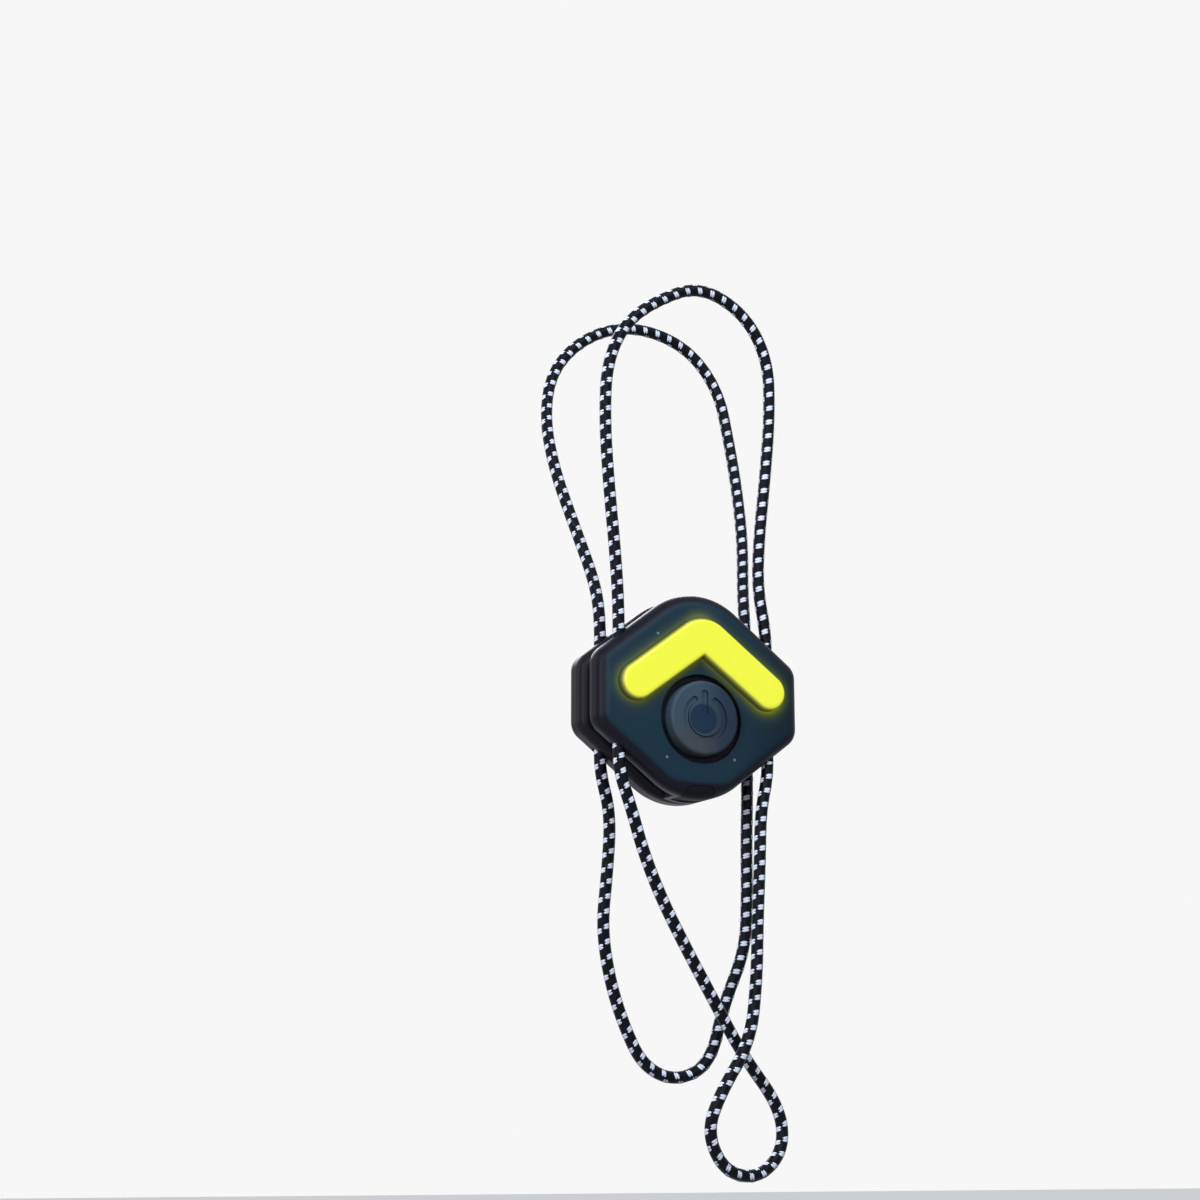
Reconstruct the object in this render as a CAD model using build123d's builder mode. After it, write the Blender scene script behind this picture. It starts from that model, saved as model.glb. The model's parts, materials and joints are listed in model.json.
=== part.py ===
"""A bicycle turn signal light: a six-sided pod of two shells with a glowing chevron and a
round power button, hung from a handlebar grip by two closed loops of round elastic cord.

Millimetres. +X is to the right of someone who faces the light, +Y goes back through the pod
and +Z is up. The origin is on the axis of the grip that the loops hang from, midway between
the two loops. Depths inside the pod are counted back from its flat front face."""
from build123d import *
import math
import os

os.makedirs("parts", exist_ok=True)

# Where the pod hangs, seen from the grip's axis
pod_drop = 85.0
pod_forward = 19.0

# Pod, outside
pod_width = 57.0
pod_height = 52.0
pod_slope_deg = 37.5
pod_tip_round = 18.3
pod_corner_round = 5.0
pod_edge_round = 3.6
rib_round = 2.8
front_rib_flat = 0.7
back_rib_flat = 2.2
groove_width = 3.0
groove_lip = 0.3
neck_wall = 1.5
face_wall = 2.0
overrun = 2.0

# Fits
close_fit = 0.05
seat_gap = 0.1
moving_gap = 0.3

# Elastic cord and the four tunnels that it runs through
cord_diameter = 3.1
tunnel_inset = 7.5
tunnel_skin = 0.6
tunnel_wall = 1.0
tunnel_mouth_height = 15.0
sleeve_wall = 0.25
sleeve_gap = 0.2
sleeve_length = 12.0

# Chevron lens, with its margins from the pod's top and sides
lens_top_margin = 4.3
lens_side_margin = 5.3
lens_apex_depth = 12.2
lens_end_height = 1.9
lens_end_radius = 4.8
lens_corner_round = 9.1
lens_proud = 2.6
lens_edge_round = 1.4
lens_seat_depth = 1.4
window_end_radius = 2.8
window_rim = 2.4
window_tunnel_gap = 1.2
diffuser_thickness = 1.0
diffuser_rim = 0.5
tray_wall = 0.8

# Power button
button_height = -6.1
well_lens_gap = 1.25
well_depth = 1.5
well_ring_width = 1.9
button_proud = 2.1
button_edge_round = 0.8
button_flange_width = 1.1
button_flange_thickness = 0.6
button_boss_radius = 2.6
button_boss_length = 0.4
button_travel = 0.5
ledge_step = 0.3
ledge_ring_width = 1.2
symbol_depth = 0.5
symbol_margin = 3.3
symbol_ring_width = 1.5
symbol_gap_deg = 64.0
symbol_bar_width = 1.8
symbol_bar_margin = 2.35
symbol_bar_length = 6.25

# Circuit board and what stands on it
board_thickness = 1.0
board_side_gap = 0.7
board_height = 25.2
board_tongue_width = 17.6
board_corner_round = 1.0
switch_size = 6.0
switch_height = 1.8
switch_corner_round = 0.5
plunger_radius = 1.7
plunger_tail = 0.6
plunger_end_gap = 0.2
led_length = 2.0
led_width = 1.25
led_height = 0.7
led_round = 0.3
led_steps = 3
led_end_gap = 1.4
post_radius = 1.9
post_side_inset = 2.2
post_end_inset = 2.6
post_wall_inset = 7.2
board_screw_radius = 0.7
board_screw_length = 3.6
board_screw_head_radius = 1.4
board_screw_head_height = 0.8
screw_slot_width = 0.5
screw_slot_depth = 0.35
controller_size = 5.0
controller_height = 0.9
controller_x = 6.0
controller_z = 4.0
charger_length = 3.0
charger_width = 1.7
charger_thickness = 1.1
charger_x = 4.4
charger_gap = 0.6
inductor_size = 3.2
inductor_height = 1.5
inductor_round = 0.5
inductor_x = -7.5
inductor_z = 6.5
chip_part_length = 1.6
chip_part_width = 0.8
chip_part_height = 0.6
chip_part_spacing = 2.6
chip_part_columns = 5
chip_part_z = -5.2

# Battery, its leads and its connector
battery_side_gap = 2.0
battery_end_gap = 1.0
battery_thickness = 5.0
battery_round = 1.4
pad_thickness = 0.4
pad_margin = 4.0
header_width = 5.4
header_height = 3.4
header_depth = 1.9
header_wall = 0.5
header_x = -3.6
header_from_tip = 9.0
lead_plug_depth = 2.6
lead_diameter = 0.9
lead_pitch = 1.8
lead_bend_share = 0.5

# Charging socket and its rubber cover
socket_width = 7.4
socket_thickness = 2.6
socket_length = 5.0
socket_wall = 0.35
socket_corner_round = 0.7
socket_tongue_thickness = 0.6
socket_tongue_width = 3.8
socket_recess = 0.6
socket_inset = 3.0
port_side_gap = 0.4
port_face_gap = 0.3
port_corner_round = 1.0
cover_lap = 0.2
cover_thickness = 1.1
cover_lip_height = 3.1
cover_corner_round = 2.5
cover_gap = 0.15
cover_plug_height = 0.9
cover_plug_gap = 0.3
cover_taper = 1.6
bead_radius = 0.8
bead_sink = 0.5
slot_flare = 0.8
bridge_wall = 1.2

# Gasket and case screws
gasket_lip = 0.4
gasket_depth = 0.8
screw_spacing_x = 23.0
screw_radius = 1.0
screw_tip_gap = 0.7
pilot_floor = 2.2
screw_head_radius = 1.9
screw_head_height = 1.3
screw_head_recess = 0.5
screw_hole_gap = 0.2
cross_width = 0.5
cross_depth = 0.7
boss_wall = 1.4
boss_sink = 0.2

# Pod, worked out
half_width = pod_width / 2
half_height = pod_height / 2
slope = math.tan(math.radians(pod_slope_deg))
slope_stretch = 1 / math.cos(math.radians(pod_slope_deg))
sharp_tip = half_height + pod_tip_round * (slope_stretch - 1)
half_side = sharp_tip - half_width * slope
front_rib_depth = pod_edge_round + front_rib_flat + rib_round
seam_depth = front_rib_depth + groove_width
back_shell_depth = rib_round + back_rib_flat + pod_edge_round
pod_depth = seam_depth + back_shell_depth
neck_inset = rib_round + groove_lip
side_wall = neck_inset + neck_wall
pod_origin = (0, -pod_forward, -pod_drop)

# Tunnels, worked out: a skin of plastic stays between their bores and the lens pocket
cord_radius = cord_diameter / 2
tunnel_radius = cord_radius + sleeve_wall + sleeve_gap
tunnel_tube_radius = tunnel_radius + tunnel_wall
tunnel_x = half_width - tunnel_inset
tunnel_front_depth = lens_seat_depth + tunnel_skin + tunnel_radius
tunnel_back_depth = pod_depth - tunnel_front_depth

# Case screws, worked out: each stands at one distance from the pod's sloping side
boss_radius = screw_radius + boss_wall
screw_inset = side_wall + boss_radius - boss_sink
screw_x = screw_spacing_x / 2
screw_z = sharp_tip - slope * screw_x - screw_inset * slope_stretch
screw_spacing_z = 2 * screw_z
head_seat_depth = pod_depth - screw_head_recess - screw_head_height
pilot_depth = face_wall + pilot_floor
screw_length = head_seat_depth - pilot_depth - screw_tip_gap

# Button, switch and board from front to back, worked out
ledge_back_depth = face_wall + ledge_step
flange_front_depth = ledge_back_depth + moving_gap
flange_back_depth = flange_front_depth + button_flange_thickness
boss_back_depth = flange_back_depth + button_boss_length
switch_front_depth = boss_back_depth + button_travel + moving_gap
board_depth = switch_front_depth + switch_height
board_back_depth = board_depth + board_thickness
plunger_hole_depth = plunger_tail + button_travel + plunger_end_gap


def at_depth(depth):
    """A plane across the pod, depth behind its front face, that looks forward."""
    plane = Plane(origin=pod_origin, x_dir=(1, 0, 0), z_dir=(0, -1, 0))
    return plane.offset(-depth)


def pod_point(x, depth, height):
    """A point of the pod in the frame of the whole light."""
    return (x, depth - pod_forward, height - pod_drop)


def level(height, x=0, depth=0):
    """A level plane at a height of the pod, with its origin at that x and depth."""
    return Plane(origin=pod_point(x, depth, height), x_dir=(1, 0, 0), z_dir=(0, 0, 1))


def finish(part, label):
    """Label a finished piece and write it to its own file."""
    part.label = label
    export_step(part, f"parts/{label}.step")
    print(f"{label}: {part.volume:.1f} mm3")


def pod_outline(inset):
    """The pod's rounded six-sided outline, moved inwards by inset."""
    corners = [
        (half_width, -half_side),
        (half_width, half_side),
        (0, sharp_tip),
        (-half_width, half_side),
        (-half_width, -half_side),
        (0, -sharp_tip),
    ]
    with BuildSketch() as outline:
        with BuildLine():
            Polyline(*corners, close=True)
        make_face()
        fillet(outline.vertices().filter_by(lambda v: v.X == 0), pod_tip_round)
        fillet(
            outline.vertices().filter_by(lambda v: abs(v.X) > half_width - close_fit),
            pod_corner_round,
        )
        if inset > 0:
            offset(amount=-inset, kind=Kind.ARC, mode=Mode.REPLACE)
    return outline.sketch


def pod_form(near_depth, far_depth, inset, near_round=0, far_round=0):
    """A solid of the pod's outline from one depth to another, with its two rims rounded."""
    with BuildPart() as form:
        with BuildSketch(at_depth(near_depth)):
            add(pod_outline(inset))
        extrude(amount=-(far_depth - near_depth))
        if near_round > 0:
            fillet(form.edges().group_by(Axis.Y)[0], near_round)
        if far_round > 0:
            fillet(form.edges().group_by(Axis.Y)[-1], far_round)
    return form.part


def tangent_point(apex, centre, radius, side):
    """Where the line from a point meets a circle as its tangent, on its side +1 or -1."""
    dx = centre[0] - apex[0]
    dz = centre[1] - apex[1]
    reach = math.hypot(dx, dz)
    length = math.sqrt(reach**2 - radius**2)
    angle = math.atan2(dz, dx) + side * math.asin(radius / reach)
    return (apex[0] + length * math.cos(angle), apex[1] + length * math.sin(angle))


def chevron(reach, end_height, end_radius, outer_apex, inner_apex, corner_round):
    """A chevron that points up, whose two arms end in round tips."""
    centre = (reach, end_height)
    outer = tangent_point((0, outer_apex), centre, end_radius, 1)
    inner = tangent_point((0, inner_apex), centre, end_radius, -1)
    run = (outer[0] - inner[0], outer[1] - inner[1])
    gap = math.hypot(*run)
    out = (run[1] / gap, -run[0] / gap)
    tip = (reach + end_radius * out[0], end_height + end_radius * out[1])
    with BuildSketch() as shape:
        with BuildLine():
            Line((0, outer_apex), outer)
            ThreePointArc(outer, tip, inner)
            Line(inner, (0, inner_apex))
            Line((0, inner_apex), (-inner[0], inner[1]))
            ThreePointArc((-inner[0], inner[1]), (-tip[0], tip[1]), (-outer[0], outer[1]))
            Line((-outer[0], outer[1]), (0, outer_apex))
        make_face()
        fillet(shape.vertices().sort_by(Axis.Y)[-1], corner_round)
    return shape.sketch


# Lens, window and button well, worked out
lens_outer_apex = half_height - lens_top_margin
lens_inner_apex = lens_outer_apex - lens_apex_depth
lens_reach = half_width - lens_side_margin - lens_end_radius
arm_slope = ((lens_outer_apex + lens_inner_apex) / 2 - lens_end_height) / lens_reach
window_reach = tunnel_x - tunnel_tube_radius - window_end_radius - window_tunnel_gap
window_inset = screw_inset + boss_radius + moving_gap + diffuser_rim
lens_end = (lens_reach, lens_end_height)
inner_edge_end = tangent_point((0, lens_inner_apex), lens_end, lens_end_radius, -1)
inner_edge_length = math.dist((0, lens_inner_apex), inner_edge_end)
button_to_lens = (lens_inner_apex - button_height) * inner_edge_end[0] / inner_edge_length
well_radius = button_to_lens - well_lens_gap
button_radius = well_radius - well_ring_width


def lens_chevron():
    """The lens as it is seen from in front."""
    return chevron(
        lens_reach,
        lens_end_height,
        lens_end_radius,
        lens_outer_apex,
        lens_inner_apex,
        lens_corner_round,
    )


def window_chevron(grow):
    """The opening behind the lens, which stops short of the cord tunnels and the screws."""
    rim = window_rim - grow
    opening = chevron(
        window_reach,
        lens_end_height + (lens_reach - window_reach) * arm_slope,
        window_end_radius + grow,
        lens_outer_apex - rim,
        lens_inner_apex + rim,
        lens_corner_round - rim,
    )
    with BuildSketch() as shape:
        add(opening)
        add(pod_outline(window_inset - grow), mode=Mode.INTERSECT)
    return shape.sketch


def tunnel_columns(depth, radius, height):
    """Two upright round columns on the tunnels' axes."""
    with BuildPart() as columns:
        with BuildSketch(level(0, 0, depth)):
            with GridLocations(2 * tunnel_x, 0, 2, 1):
                Circle(radius)
        extrude(amount=height, both=True)
    return columns.part


def screw_columns(depth, radius, length):
    """Four round columns on the case screws' axes, going back from a depth."""
    with BuildPart() as group:
        with BuildSketch(at_depth(depth)):
            with GridLocations(screw_spacing_x, screw_spacing_z, 2, 2):
                Circle(radius)
        extrude(amount=-length)
    return group.part


# Charging port and its rubber cover, worked out
port_width = socket_width + 2 * port_side_gap
port_thickness = socket_thickness + 2 * port_face_gap
port_centre_depth = board_depth - socket_thickness / 2
bead_depth = port_centre_depth + port_thickness / 2 + bead_radius
bead_bottom = -half_height + bead_sink
bead_height = bead_bottom + bead_radius
cover_width = port_width + 2 * cover_lap
cover_plug_width = port_width - 2 * cover_plug_gap
cover_plug_thickness = port_thickness - 2 * cover_plug_gap
slot_radius = bead_radius + close_fit
slot_width = cover_width + 2 * cover_gap
bridge_width = slot_width + 2 * bridge_wall

# Outer forms of the two shells: a rounded rib each, and a narrower neck between them
with BuildPart() as front_body:
    add(pod_form(0, front_rib_depth, 0, pod_edge_round, rib_round))
    with BuildSketch(at_depth(front_rib_depth)):
        add(pod_outline(neck_inset))
    extrude(amount=-groove_width)
    # A bridge over the groove at the lower tip, which holds the cover's rolled edge
    with BuildSketch(at_depth(front_rib_depth - rib_round)):
        add(pod_outline(0))
        with Locations((0, -half_height)):
            Rectangle(bridge_width, 2 * side_wall, mode=Mode.INTERSECT)
    extrude(amount=-(rib_round + groove_width))
front_form = front_body.part
back_form = pod_form(seam_depth, pod_depth, 0, rib_round, pod_edge_round)


def cover_block(grow):
    """A block through the pod's lower tip, round at its upper corners, as wide as the cover."""
    block_height = 2 * (cover_lip_height + grow)
    with BuildPart() as block:
        with BuildSketch(at_depth(-overrun)):
            with Locations((0, -half_height)):
                RectangleRounded(cover_width + 2 * grow, block_height, cover_corner_round + grow)
        extrude(amount=-(bead_depth + overrun))
    return block.part


def bead(radius, length):
    """The rolled back edge that the cover turns on."""
    axis = Plane(origin=pod_point(0, bead_depth, bead_height), z_dir=(1, 0, 0))
    with BuildPart() as roll:
        with BuildSketch(axis):
            Circle(radius)
        extrude(amount=length / 2, both=True)
    return roll.part


def across(points, width):
    """A bar across the pod whose outline is given by depth and height."""
    with BuildPart() as bar:
        with BuildSketch(Plane(origin=pod_origin, x_dir=(0, 1, 0), z_dir=(1, 0, 0))):
            Polygon(*points, align=None)
        extrude(amount=width / 2, both=True)
    return bar.part


cover_core = pod_form(
    cover_thickness, seam_depth + overrun, cover_thickness, pod_edge_round - cover_thickness
)
recess_inset = cover_thickness + cover_gap
recess_core = pod_form(
    recess_inset, seam_depth + overrun, recess_inset, pod_edge_round - recess_inset
)

with BuildPart() as cover_recess:
    add(cover_block(cover_gap))
    add(recess_core, mode=Mode.SUBTRACT)

with BuildPart() as bead_slot:
    add(bead(slot_radius, slot_width))
    slot_outline = [
        (bead_depth - slot_radius, bead_height),
        (bead_depth + slot_radius, bead_height),
        (bead_depth + slot_radius + slot_flare, -half_height),
        (bead_depth - slot_radius, -half_height),
    ]
    add(across(slot_outline, slot_width))

with BuildPart() as port_cover:
    add(cover_block(0))
    add(front_form, mode=Mode.INTERSECT)
    add(cover_core, mode=Mode.SUBTRACT)
    with BuildSketch(level(-half_height + cover_thickness / 2, 0, port_centre_depth)):
        RectangleRounded(cover_plug_width, cover_plug_thickness, port_corner_round)
    extrude(amount=cover_thickness / 2 + cover_plug_height)
    taper_outline = [
        (bead_depth - cover_taper, -half_height - overrun),
        (bead_depth - cover_taper, -half_height),
        (bead_depth, bead_bottom),
        (bead_depth + overrun, bead_bottom),
        (bead_depth + overrun, -half_height - overrun),
    ]
    add(across(taper_outline, slot_width), mode=Mode.SUBTRACT)
    add(bead(bead_radius, cover_width))
finish(port_cover.part, "port_cover")

# Front shell
boss_length = seam_depth - face_wall
post_length = board_depth - face_wall
board_width = 2 * (tunnel_x - tunnel_tube_radius - board_side_gap)
post_spacing = board_width - 2 * post_side_inset
# The posts stand in from the board's end, or from the sloping wall where that is nearer
below_end = board_height / 2 - post_end_inset
below_wall = sharp_tip - slope * post_spacing / 2 - post_wall_inset * slope_stretch
post_height = -min(below_end, below_wall)

with BuildPart() as front_shell:
    add(front_form)
    with BuildSketch(at_depth(face_wall)):
        add(pod_outline(side_wall))
    extrude(amount=-(seam_depth - face_wall), mode=Mode.SUBTRACT)
    # Tunnel tubes, screw bosses and board posts, kept inside the shell's own form
    with BuildPart(mode=Mode.PRIVATE) as inner_posts:
        add(tunnel_columns(tunnel_front_depth, tunnel_tube_radius, half_height))
        add(screw_columns(face_wall, boss_radius, boss_length))
        with BuildSketch(at_depth(face_wall)):
            with Locations((0, post_height)):
                with GridLocations(post_spacing, 0, 2, 1):
                    Circle(post_radius)
        extrude(amount=-post_length)
        with BuildSketch(at_depth(face_wall)):
            with Locations((0, button_height)):
                Circle(well_radius + ledge_ring_width)
        extrude(amount=-(ledge_back_depth - face_wall))
        add(front_form, mode=Mode.INTERSECT)
    add(inner_posts.part)
    # Openings in the face: the lens pocket, its window and the button's well and hole
    with BuildSketch(at_depth(-overrun)):
        add(lens_chevron())
    extrude(amount=-(lens_seat_depth + overrun), mode=Mode.SUBTRACT)
    with BuildSketch(at_depth(0)):
        add(window_chevron(0))
    extrude(amount=-(face_wall + overrun), mode=Mode.SUBTRACT)
    with BuildSketch(at_depth(-overrun)):
        with Locations((0, button_height)):
            Circle(well_radius)
    extrude(amount=-(well_depth + overrun), mode=Mode.SUBTRACT)
    with BuildSketch(at_depth(0)):
        with Locations((0, button_height)):
            Circle(button_radius + moving_gap)
    extrude(amount=-(ledge_back_depth + overrun), mode=Mode.SUBTRACT)
    # Bores for the cord, holes for the screws, and the charging port
    add(tunnel_columns(tunnel_front_depth, tunnel_radius, half_height), mode=Mode.SUBTRACT)
    pilot_hole = screw_columns(pilot_depth, screw_radius + close_fit, seam_depth - pilot_depth)
    add(pilot_hole, mode=Mode.SUBTRACT)
    with BuildSketch(at_depth(board_depth)):
        with Locations((0, post_height)):
            with GridLocations(post_spacing, 0, 2, 1):
                Circle(board_screw_radius + close_fit)
    extrude(amount=(board_screw_length - board_thickness + moving_gap), mode=Mode.SUBTRACT)
    add(cover_recess.part, mode=Mode.SUBTRACT)
    add(bead_slot.part, mode=Mode.SUBTRACT)
    with BuildSketch(level(-half_height - overrun, 0, port_centre_depth)):
        RectangleRounded(port_width, port_thickness, port_corner_round)
    extrude(amount=side_wall + 2 * overrun, mode=Mode.SUBTRACT)
finish(front_shell.part, "front_shell")

# Back shell
gasket_inset = neck_inset + gasket_lip
gasket_width = side_wall - gasket_inset - gasket_lip

with BuildPart() as back_shell:
    add(back_form)
    with BuildSketch(at_depth(seam_depth)):
        add(pod_outline(side_wall))
    extrude(amount=-(back_shell_depth - face_wall), mode=Mode.SUBTRACT)
    with BuildPart(mode=Mode.PRIVATE) as back_posts:
        add(tunnel_columns(tunnel_back_depth, tunnel_tube_radius, half_height))
        add(screw_columns(seam_depth, boss_radius, back_shell_depth - face_wall))
        add(back_form, mode=Mode.INTERSECT)
    add(back_posts.part)
    add(tunnel_columns(tunnel_back_depth, tunnel_radius, half_height), mode=Mode.SUBTRACT)
    through_hole = screw_columns(seam_depth, screw_radius + screw_hole_gap, back_shell_depth)
    add(through_hole, mode=Mode.SUBTRACT)
    head_depth = pod_depth - head_seat_depth + overrun
    head_hole = screw_columns(head_seat_depth, screw_head_radius + screw_hole_gap, head_depth)
    add(head_hole, mode=Mode.SUBTRACT)
    # Groove for the gasket in the rim
    with BuildSketch(at_depth(seam_depth)):
        add(pod_outline(gasket_inset))
        add(pod_outline(gasket_inset + gasket_width), mode=Mode.SUBTRACT)
    extrude(amount=-gasket_depth, mode=Mode.SUBTRACT)
    # Where the bridge is short, the slot of the cover's rolled edge runs on past the seam
    add(bead_slot.part, mode=Mode.SUBTRACT)
finish(back_shell.part, "back_shell")

with BuildPart() as seam_gasket:
    with BuildSketch(at_depth(seam_depth)):
        add(pod_outline(gasket_inset + close_fit))
        add(pod_outline(gasket_inset + gasket_width - close_fit), mode=Mode.SUBTRACT)
    extrude(amount=-gasket_depth)
    add(bead_slot.part, mode=Mode.SUBTRACT)
finish(seam_gasket.part, "seam_gasket")

# Chevron lens, diffuser and light tray
with BuildPart() as chevron_lens:
    with BuildSketch(at_depth(-lens_proud)):
        add(lens_chevron())
        offset(amount=-seat_gap, kind=Kind.ARC, mode=Mode.REPLACE)
    extrude(amount=-(lens_proud + lens_seat_depth))
    fillet(chevron_lens.edges().group_by(Axis.Y)[0], lens_edge_round)
finish(chevron_lens.part, "chevron_lens")

with BuildPart() as light_diffuser:
    with BuildSketch(at_depth(lens_seat_depth)):
        add(window_chevron(-seat_gap))
    extrude(amount=-(face_wall - lens_seat_depth))
    with BuildSketch(at_depth(face_wall)):
        add(window_chevron(diffuser_rim))
    extrude(amount=-diffuser_thickness)
finish(light_diffuser.part, "light_diffuser")

tray_front_depth = face_wall + diffuser_thickness
with BuildPart() as light_tray:
    with BuildSketch(at_depth(tray_front_depth)):
        add(window_chevron(diffuser_rim))
        add(window_chevron(diffuser_rim - tray_wall), mode=Mode.SUBTRACT)
    extrude(amount=-(board_depth - tray_front_depth))
finish(light_tray.part, "light_tray")

# Power button, which slides back against the switch
symbol_radius = button_radius - symbol_margin
ring_middle_radius = symbol_radius - symbol_ring_width / 2
ring_start_deg = 90 - symbol_gap_deg / 2
symbol_bar_middle = button_height + button_radius - symbol_bar_margin - symbol_bar_length / 2

with BuildPart() as button_cap:
    with BuildSketch(at_depth(-button_proud)):
        with Locations((0, button_height)):
            Circle(button_radius)
    extrude(amount=-(flange_back_depth + button_proud))
    fillet(button_cap.edges().group_by(Axis.Y)[0], button_edge_round)
    with BuildSketch(at_depth(flange_front_depth)):
        with Locations((0, button_height)):
            Circle(button_radius + button_flange_width)
    extrude(amount=-button_flange_thickness)
    with BuildSketch(at_depth(flange_back_depth)):
        with Locations((0, button_height)):
            Circle(button_boss_radius)
    extrude(amount=-button_boss_length)
    # Sunk power symbol: a ring that is open at the top, with round ends, and a bar between them
    with BuildSketch(at_depth(-button_proud)):
        with Locations((0, button_height)):
            Circle(symbol_radius)
            Circle(symbol_radius - symbol_ring_width, mode=Mode.SUBTRACT)
            half_gap = symbol_radius * math.tan(math.radians(symbol_gap_deg / 2))
            Polygon(
                (0, 0),
                (half_gap, symbol_radius),
                (-half_gap, symbol_radius),
                align=None,
                mode=Mode.SUBTRACT,
            )
        with Locations((0, button_height)):
            with PolarLocations(ring_middle_radius, 2, ring_start_deg, symbol_gap_deg, endpoint=True):
                Circle(symbol_ring_width / 2)
        with Locations((0, symbol_bar_middle)):
            SlotOverall(symbol_bar_length, symbol_bar_width, rotation=90)
    extrude(amount=-symbol_depth, mode=Mode.SUBTRACT)
finish(button_cap.part, "button_cap")

# Switch under the button
with BuildPart() as switch_body:
    with BuildSketch(at_depth(switch_front_depth)):
        with Locations((0, button_height)):
            RectangleRounded(switch_size, switch_size, switch_corner_round)
            Circle(plunger_radius + close_fit, mode=Mode.SUBTRACT)
    extrude(amount=-plunger_hole_depth)
    with BuildSketch(at_depth(switch_front_depth + plunger_hole_depth)):
        with Locations((0, button_height)):
            RectangleRounded(switch_size, switch_size, switch_corner_round)
    extrude(amount=-(switch_height - plunger_hole_depth))
finish(switch_body.part, "switch_body")

with BuildPart() as switch_plunger:
    with BuildSketch(at_depth(boss_back_depth)):
        with Locations((0, button_height)):
            Circle(plunger_radius)
    extrude(amount=-(switch_front_depth + plunger_tail - boss_back_depth))
finish(switch_plunger.part, "switch_plunger")

# Circuit board
with BuildPart() as circuit_board:
    with BuildSketch(at_depth(board_depth)):
        RectangleRounded(board_width, board_height, board_corner_round)
        Rectangle(board_tongue_width, pod_height)
        add(pod_outline(side_wall + moving_gap), mode=Mode.INTERSECT)
        with GridLocations(screw_spacing_x, screw_spacing_z, 2, 2):
            Circle(boss_radius + moving_gap, mode=Mode.SUBTRACT)
        with Locations((0, post_height)):
            with GridLocations(post_spacing, 0, 2, 1):
                Circle(board_screw_radius + close_fit, mode=Mode.SUBTRACT)
    extrude(amount=-board_thickness)
finish(circuit_board.part, "circuit_board")

# Lamps along the two arms of the chevron, on the board's front
round_apex = window_chevron(0).bounding_box().max.Y
led_places = [(0, (round_apex + lens_inner_apex + window_rim) / 2)]
for step in range(1, led_steps + 1):
    along = (window_reach - led_end_gap) * step / led_steps
    rise = lens_end_height + (lens_reach - along) * arm_slope
    led_places += [(along, rise), (-along, rise)]
led_front_depth = board_depth - led_height
with BuildPart() as chevron_leds:
    with BuildSketch(at_depth(led_front_depth)):
        with Locations(*led_places):
            Rectangle(led_length, led_width)
    extrude(amount=-led_height)
    fillet(chevron_leds.edges().filter_by(Axis.Y), led_round)
finish(chevron_leds.part, "chevron_leds")


def chip(label, x, z, length, width, height):
    """A flat square-edged component on the board's back."""
    with BuildPart() as body:
        with BuildSketch(at_depth(board_back_depth)):
            with Locations((x, z)):
                Rectangle(length, width)
        extrude(amount=-height)
        chamfer(body.edges().group_by(Axis.Y)[-1], height / 4)
    finish(body.part, label)


chip(
    "controller_chip", controller_x, controller_z, controller_size, controller_size, controller_height
)
header_z = header_from_tip - half_height
charger_z = header_z + (header_height + charger_width) / 2 + charger_gap
chip("charger_chip", charger_x, charger_z, charger_length, charger_width, charger_thickness)

with BuildPart() as inductor:
    with BuildSketch(at_depth(board_back_depth)):
        with Locations((inductor_x, inductor_z)):
            RectangleRounded(inductor_size, inductor_size, inductor_round)
    extrude(amount=-inductor_height)
finish(inductor.part, "inductor")

with BuildPart() as chip_parts:
    with BuildSketch(at_depth(board_back_depth)):
        with Locations((0, chip_part_z)):
            with GridLocations(chip_part_spacing, chip_part_spacing, chip_part_columns, 2):
                Rectangle(chip_part_width, chip_part_length)
    extrude(amount=-chip_part_height)
finish(chip_parts.part, "chip_resistors")

# Battery and what holds it to the back wall
battery_width = 2 * (tunnel_x - tunnel_tube_radius - battery_side_gap)
battery_height = 2 * (screw_z - boss_radius - battery_end_gap)
pad_front_depth = pod_depth - face_wall - pad_thickness
battery_front_depth = pad_front_depth - battery_thickness
with BuildPart() as battery_cell:
    with BuildSketch(at_depth(battery_front_depth)):
        RectangleRounded(battery_width, battery_height, battery_round)
    extrude(amount=-battery_thickness)
    fillet(battery_cell.edges().group_by(Axis.Y)[0], battery_round / 2)
finish(battery_cell.part, "battery_cell")

with BuildPart() as battery_pad:
    with BuildSketch(at_depth(pad_front_depth)):
        Rectangle(battery_width - pad_margin, battery_height - pad_margin)
    extrude(amount=-pad_thickness)
finish(battery_pad.part, "battery_pad")

# Battery connector: a header on the board and a plug in it, with two leads to the battery
plug_front_depth = board_back_depth + header_wall
plug_back_depth = plug_front_depth + lead_plug_depth
plug_width = header_width - 2 * header_wall - 2 * close_fit
plug_height = header_height - 2 * header_wall - 2 * close_fit
lead_exit_depth = battery_front_depth + battery_thickness / 2
lead_bend_radius = lead_bend_share * (lead_exit_depth - plug_back_depth)

with BuildPart() as battery_header:
    with BuildSketch(at_depth(board_back_depth)):
        with Locations((header_x, header_z)):
            Rectangle(header_width, header_height)
    extrude(amount=-header_depth)
    with BuildSketch(at_depth(plug_front_depth)):
        with Locations((header_x, header_z)):
            Rectangle(header_width - 2 * header_wall, header_height - 2 * header_wall)
    extrude(amount=-header_depth, mode=Mode.SUBTRACT)
finish(battery_header.part, "battery_header")

with BuildPart() as battery_plug:
    with BuildSketch(at_depth(plug_front_depth)):
        with Locations((header_x, header_z)):
            Rectangle(plug_width, plug_height)
    extrude(amount=-lead_plug_depth)
finish(battery_plug.part, "battery_plug")

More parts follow.
